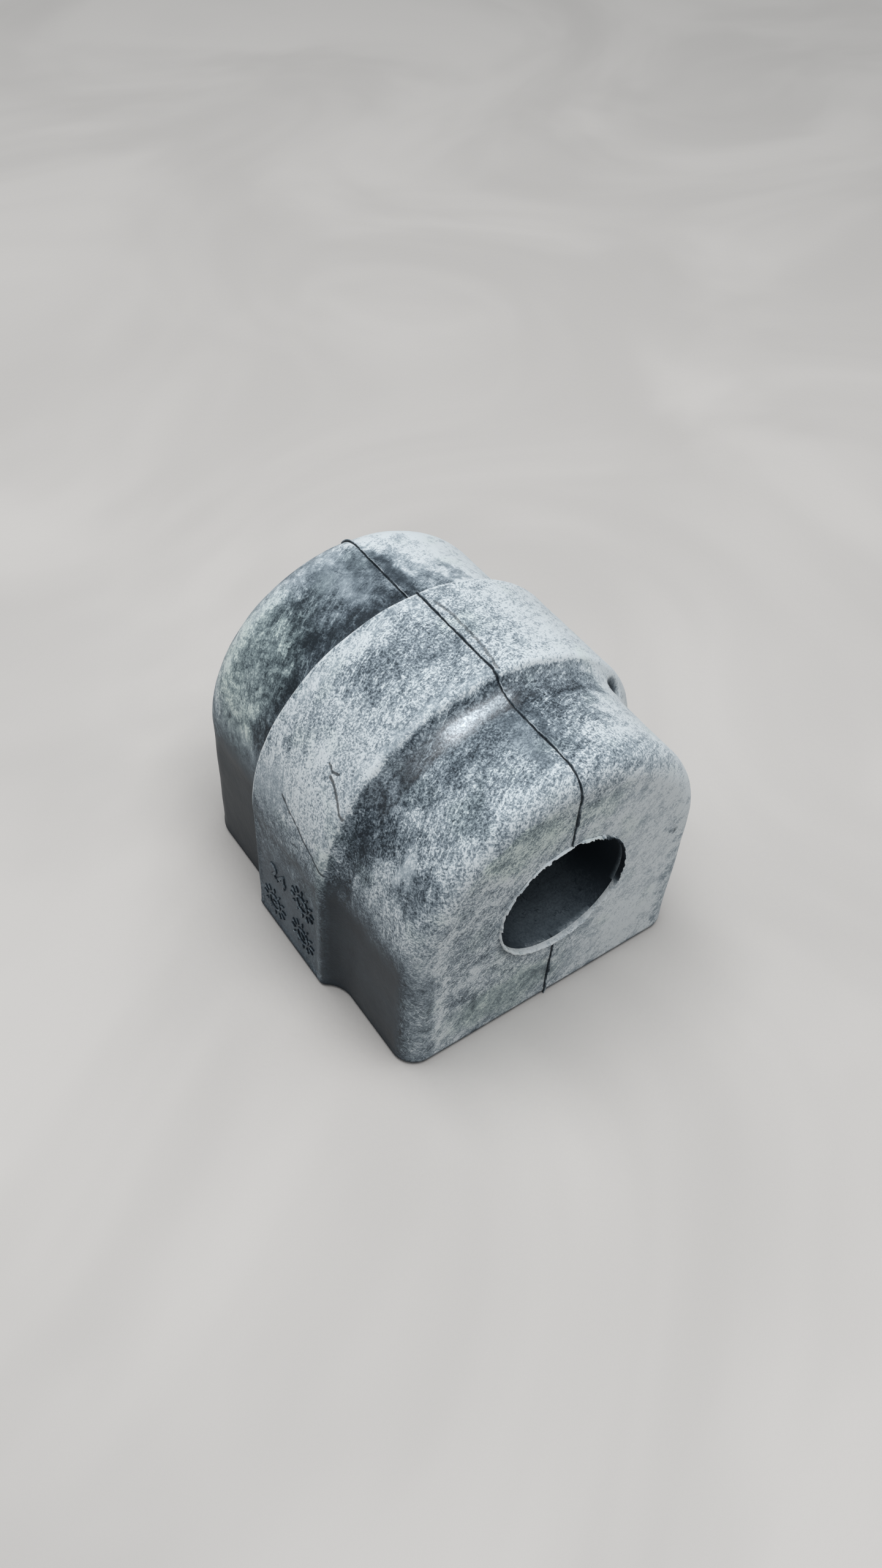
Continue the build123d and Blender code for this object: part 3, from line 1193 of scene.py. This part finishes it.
def makeFloor(look):
    material, graph = startMaterial("paleBench")
    here = graph.add("ShaderNodeTexCoord", {}, {}, "Object")
    broad = graph.grain(here, look["cloudSize"], 3.0, 0.5, 1.5)
    darker = tuple(value * 0.9 for value in look["floorColour"][:3]) + (1.0,)
    colour = graph.blend(broad.step(0.35, 0.65), darker, look["floorColour"])
    fine = graph.grain(here, look["grainSize"], 2.0)
    bump = graph.add("ShaderNodeBump", {}, {"Distance": look["grainHeight"], "Height": fine})
    endMaterial(graph, {"Base Color": colour, "Roughness": look["floorRoughness"], "Normal": bump})
    shape = bmesh.new()
    bmesh.ops.create_grid(shape, x_segments=8, y_segments=8, size=look["floorSize"] / 2)
    mesh = bpy.data.meshes.new("bench")
    shape.to_mesh(mesh)
    shape.free()
    mesh.materials.append(material)
    floor = linked("bench", mesh)


makeFloor(studio)

world = bpy.data.worlds.new("softRoom")
bpy.context.scene.world = world
world.use_nodes = True
sky = world.node_tree.nodes["Background"]
sky.inputs["Color"].default_value = studio["skyColour"]
sky.inputs["Strength"].default_value = studio["skyStrength"]

lamp = bpy.data.lights.new("overheadPanel", "AREA")
lamp.energy = studio["lampPower"]
lamp.shape = "RECTANGLE"
lamp.size, lamp.size_y = studio["lampSize"]
lamp.color = studio["lampColour"]
panel = linked("overheadPanel", lamp)
panel.location = studio["lampPlace"]
downwards = -Vector(studio["lampPlace"])
panel.rotation_euler = downwards.to_track_quat("-Z", "Y").to_euler()     # faces the bush

lens = dict(
    place=(-0.082416, -0.104927, 0.174666),
    target=(-0.002354, -0.002708, 0.025),
    roll=4.31,
    focal=29.889,
    sensor=36.0,            # along the frame's longer side
)
cameraData = bpy.data.cameras.new("benchCamera")
cameraData.lens = lens["focal"]
cameraData.sensor_width = lens["sensor"]
cameraData.sensor_fit = "AUTO"
cameraData.clip_start = 0.01
camera = linked("benchCamera", cameraData)
camera.location = lens["place"]
aim = (Vector(lens["target"]) - Vector(lens["place"])).to_track_quat("-Z", "Y")
camera.rotation_euler = (aim @ Quaternion((0, 0, 1), math.radians(lens["roll"]))).to_euler()
bpy.context.scene.camera = camera
bpy.context.scene.view_settings.view_transform = "Standard"
print("floor, light and camera set")
